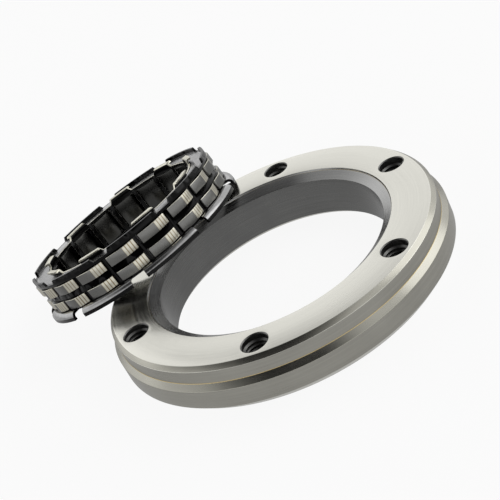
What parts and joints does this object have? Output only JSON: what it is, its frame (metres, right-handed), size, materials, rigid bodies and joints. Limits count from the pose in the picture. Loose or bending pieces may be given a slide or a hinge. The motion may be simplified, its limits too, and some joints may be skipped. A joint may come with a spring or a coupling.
{
  "type": "sprag clutch",
  "caption": "One-way sprag clutch: a flanged outer race with tapped holes, and the double-cage ring of tilting sprags that runs inside it, lifted out and leaning on it.",
  "frame": {"origin": "on the axis of the race's bore, half way through the race's width", "axes": "+Z along the race's axis, out of the face with the bevelled mouth and the spigot; +X through the middle of one tapped hole; the race rests on the plane Z = -8 mm"},
  "size_m": [0.1211, 0.1519, 0.0349],
  "materials": {
    "race_steel": "ground and polished bearing steel",
    "cage_steel": "blackened pressed sheet steel",
    "spring_steel": "bright strip steel",
    "sprag_steel": "ground and hardened steel"
  },
  "bodies": {
    "race": {"outer_race": "race_steel"},
    "cage": {"outer_cage": "cage_steel", "ribbon_spring": "spring_steel"},
    "inner_cage": {"inner_cage": "cage_steel"},
    "sprag_01": {"sprag_01": "sprag_steel"},
    "sprag_02": {"sprag_02": "sprag_steel"},
    "sprag_03": {"sprag_03": "sprag_steel"},
    "sprag_04": {"sprag_04": "sprag_steel"},
    "sprag_05": {"sprag_05": "sprag_steel"},
    "sprag_06": {"sprag_06": "sprag_steel"},
    "sprag_07": {"sprag_07": "sprag_steel"},
    "sprag_08": {"sprag_08": "sprag_steel"},
    "sprag_09": {"sprag_09": "sprag_steel"},
    "sprag_10": {"sprag_10": "sprag_steel"},
    "sprag_11": {"sprag_11": "sprag_steel"},
    "sprag_12": {"sprag_12": "sprag_steel"},
    "sprag_13": {"sprag_13": "sprag_steel"},
    "sprag_14": {"sprag_14": "sprag_steel"},
    "sprag_15": {"sprag_15": "sprag_steel"},
    "sprag_16": {"sprag_16": "sprag_steel"},
    "sprag_17": {"sprag_17": "sprag_steel"},
    "sprag_18": {"sprag_18": "sprag_steel"}
  },
  "joints": [
    {"name": "cage_spin", "type": "hinge", "parent": "race", "child": "cage", "pos_m": [-0.02732, 0.05899, 0.00996], "axis": [-0.1174, 0.2429, 0.9629], "continuous": true},
    {"name": "inner_cage_shift", "type": "hinge", "parent": "cage", "child": "inner_cage", "pos_m": [-0.02732, 0.05899, 0.00996], "axis": [-0.1174, 0.2429, 0.9629], "range_deg": [0, 0.5369], "stiffness_Nm_per_rad": 0.05, "springref_deg": -1.15},
    {"name": "sprag_01_tilt", "type": "hinge", "parent": "cage", "child": "sprag_01", "pos_m": [0.00406, 0.06913, 0.01123], "axis": [-0.1174, 0.2429, 0.9629], "range_deg": [-5.2, 0.2]},
    {"name": "sprag_02_tilt", "type": "hinge", "parent": "cage", "child": "sprag_02", "pos_m": [-0.00107, 0.0789, 0.00814], "axis": [-0.1174, 0.2429, 0.9629], "range_deg": [-5.2, 0.2]},
    {"name": "sprag_03_tilt", "type": "hinge", "parent": "cage", "child": "sprag_03", "pos_m": [-0.00936, 0.08627, 0.00527], "axis": [-0.1174, 0.2429, 0.9629], "range_deg": [-5.2, 0.2]},
    {"name": "sprag_04_tilt", "type": "hinge", "parent": "cage", "child": "sprag_04", "pos_m": [-0.01982, 0.09036, 0.00297], "axis": [-0.1174, 0.2429, 0.9629], "range_deg": [-5.2, 0.2]},
    {"name": "sprag_05_tilt", "type": "hinge", "parent": "cage", "child": "sprag_05", "pos_m": [-0.03118, 0.09065, 0.00151], "axis": [-0.1174, 0.2429, 0.9629], "range_deg": [-5.2, 0.2]},
    {"name": "sprag_06_tilt", "type": "hinge", "parent": "cage", "child": "sprag_06", "pos_m": [-0.04208, 0.08713, 0.00107], "axis": [-0.1174, 0.2429, 0.9629], "range_deg": [-5.2, 0.2]},
    {"name": "sprag_07_tilt", "type": "hinge", "parent": "cage", "child": "sprag_07", "pos_m": [-0.05119, 0.08022, 0.0017], "axis": [-0.1174, 0.2429, 0.9629], "range_deg": [-5.2, 0.2]},
    {"name": "sprag_08_tilt", "type": "hinge", "parent": "cage", "child": "sprag_08", "pos_m": [-0.05743, 0.07075, 0.00333], "axis": [-0.1174, 0.2429, 0.9629], "range_deg": [-5.2, 0.2]},
    {"name": "sprag_09_tilt", "type": "hinge", "parent": "cage", "child": "sprag_09", "pos_m": [-0.06004, 0.05985, 0.00576], "axis": [-0.1174, 0.2429, 0.9629], "range_deg": [-5.2, 0.2]},
    {"name": "sprag_10_tilt", "type": "hinge", "parent": "cage", "child": "sprag_10", "pos_m": [-0.0587, 0.04886, 0.0087], "axis": [-0.1174, 0.2429, 0.9629], "range_deg": [-5.2, 0.2]},
    {"name": "sprag_11_tilt", "type": "hinge", "parent": "cage", "child": "sprag_11", "pos_m": [-0.05357, 0.03908, 0.01179], "axis": [-0.1174, 0.2429, 0.9629], "range_deg": [-5.2, 0.2]},
    {"name": "sprag_12_tilt", "type": "hinge", "parent": "cage", "child": "sprag_12", "pos_m": [-0.04528, 0.03171, 0.01466], "axis": [-0.1174, 0.2429, 0.9629], "range_deg": [-5.2, 0.2]},
    {"name": "sprag_13_tilt", "type": "hinge", "parent": "cage", "child": "sprag_13", "pos_m": [-0.03482, 0.02763, 0.01696], "axis": [-0.1174, 0.2429, 0.9629], "range_deg": [-5.2, 0.2]},
    {"name": "sprag_14_tilt", "type": "hinge", "parent": "cage", "child": "sprag_14", "pos_m": [-0.02346, 0.02733, 0.01842], "axis": [-0.1174, 0.2429, 0.9629], "range_deg": [-5.2, 0.2]},
    {"name": "sprag_15_tilt", "type": "hinge", "parent": "cage", "child": "sprag_15", "pos_m": [-0.01256, 0.03085, 0.01886], "axis": [-0.1174, 0.2429, 0.9629], "range_deg": [-5.2, 0.2]},
    {"name": "sprag_16_tilt", "type": "hinge", "parent": "cage", "child": "sprag_16", "pos_m": [-0.00345, 0.03776, 0.01823], "axis": [-0.1174, 0.2429, 0.9629], "range_deg": [-5.2, 0.2]},
    {"name": "sprag_17_tilt", "type": "hinge", "parent": "cage", "child": "sprag_17", "pos_m": [0.00279, 0.04724, 0.0166], "axis": [-0.1174, 0.2429, 0.9629], "range_deg": [-5.2, 0.2]},
    {"name": "sprag_18_tilt", "type": "hinge", "parent": "cage", "child": "sprag_18", "pos_m": [0.0054, 0.05813, 0.01417], "axis": [-0.1174, 0.2429, 0.9629], "range_deg": [-5.2, 0.2]}
  ],
  "couplings": [
    {"joint": "sprag_01_tilt", "follows": "inner_cage_shift", "ratio": -9.3125},
    {"joint": "sprag_02_tilt", "follows": "inner_cage_shift", "ratio": -9.3125},
    {"joint": "sprag_03_tilt", "follows": "inner_cage_shift", "ratio": -9.3125},
    {"joint": "sprag_04_tilt", "follows": "inner_cage_shift", "ratio": -9.3125},
    {"joint": "sprag_05_tilt", "follows": "inner_cage_shift", "ratio": -9.3125},
    {"joint": "sprag_06_tilt", "follows": "inner_cage_shift", "ratio": -9.3125},
    {"joint": "sprag_07_tilt", "follows": "inner_cage_shift", "ratio": -9.3125},
    {"joint": "sprag_08_tilt", "follows": "inner_cage_shift", "ratio": -9.3125},
    {"joint": "sprag_09_tilt", "follows": "inner_cage_shift", "ratio": -9.3125},
    {"joint": "sprag_10_tilt", "follows": "inner_cage_shift", "ratio": -9.3125},
    {"joint": "sprag_11_tilt", "follows": "inner_cage_shift", "ratio": -9.3125},
    {"joint": "sprag_12_tilt", "follows": "inner_cage_shift", "ratio": -9.3125},
    {"joint": "sprag_13_tilt", "follows": "inner_cage_shift", "ratio": -9.3125},
    {"joint": "sprag_14_tilt", "follows": "inner_cage_shift", "ratio": -9.3125},
    {"joint": "sprag_15_tilt", "follows": "inner_cage_shift", "ratio": -9.3125},
    {"joint": "sprag_16_tilt", "follows": "inner_cage_shift", "ratio": -9.3125},
    {"joint": "sprag_17_tilt", "follows": "inner_cage_shift", "ratio": -9.3125},
    {"joint": "sprag_18_tilt", "follows": "inner_cage_shift", "ratio": -9.3125}
  ]
}
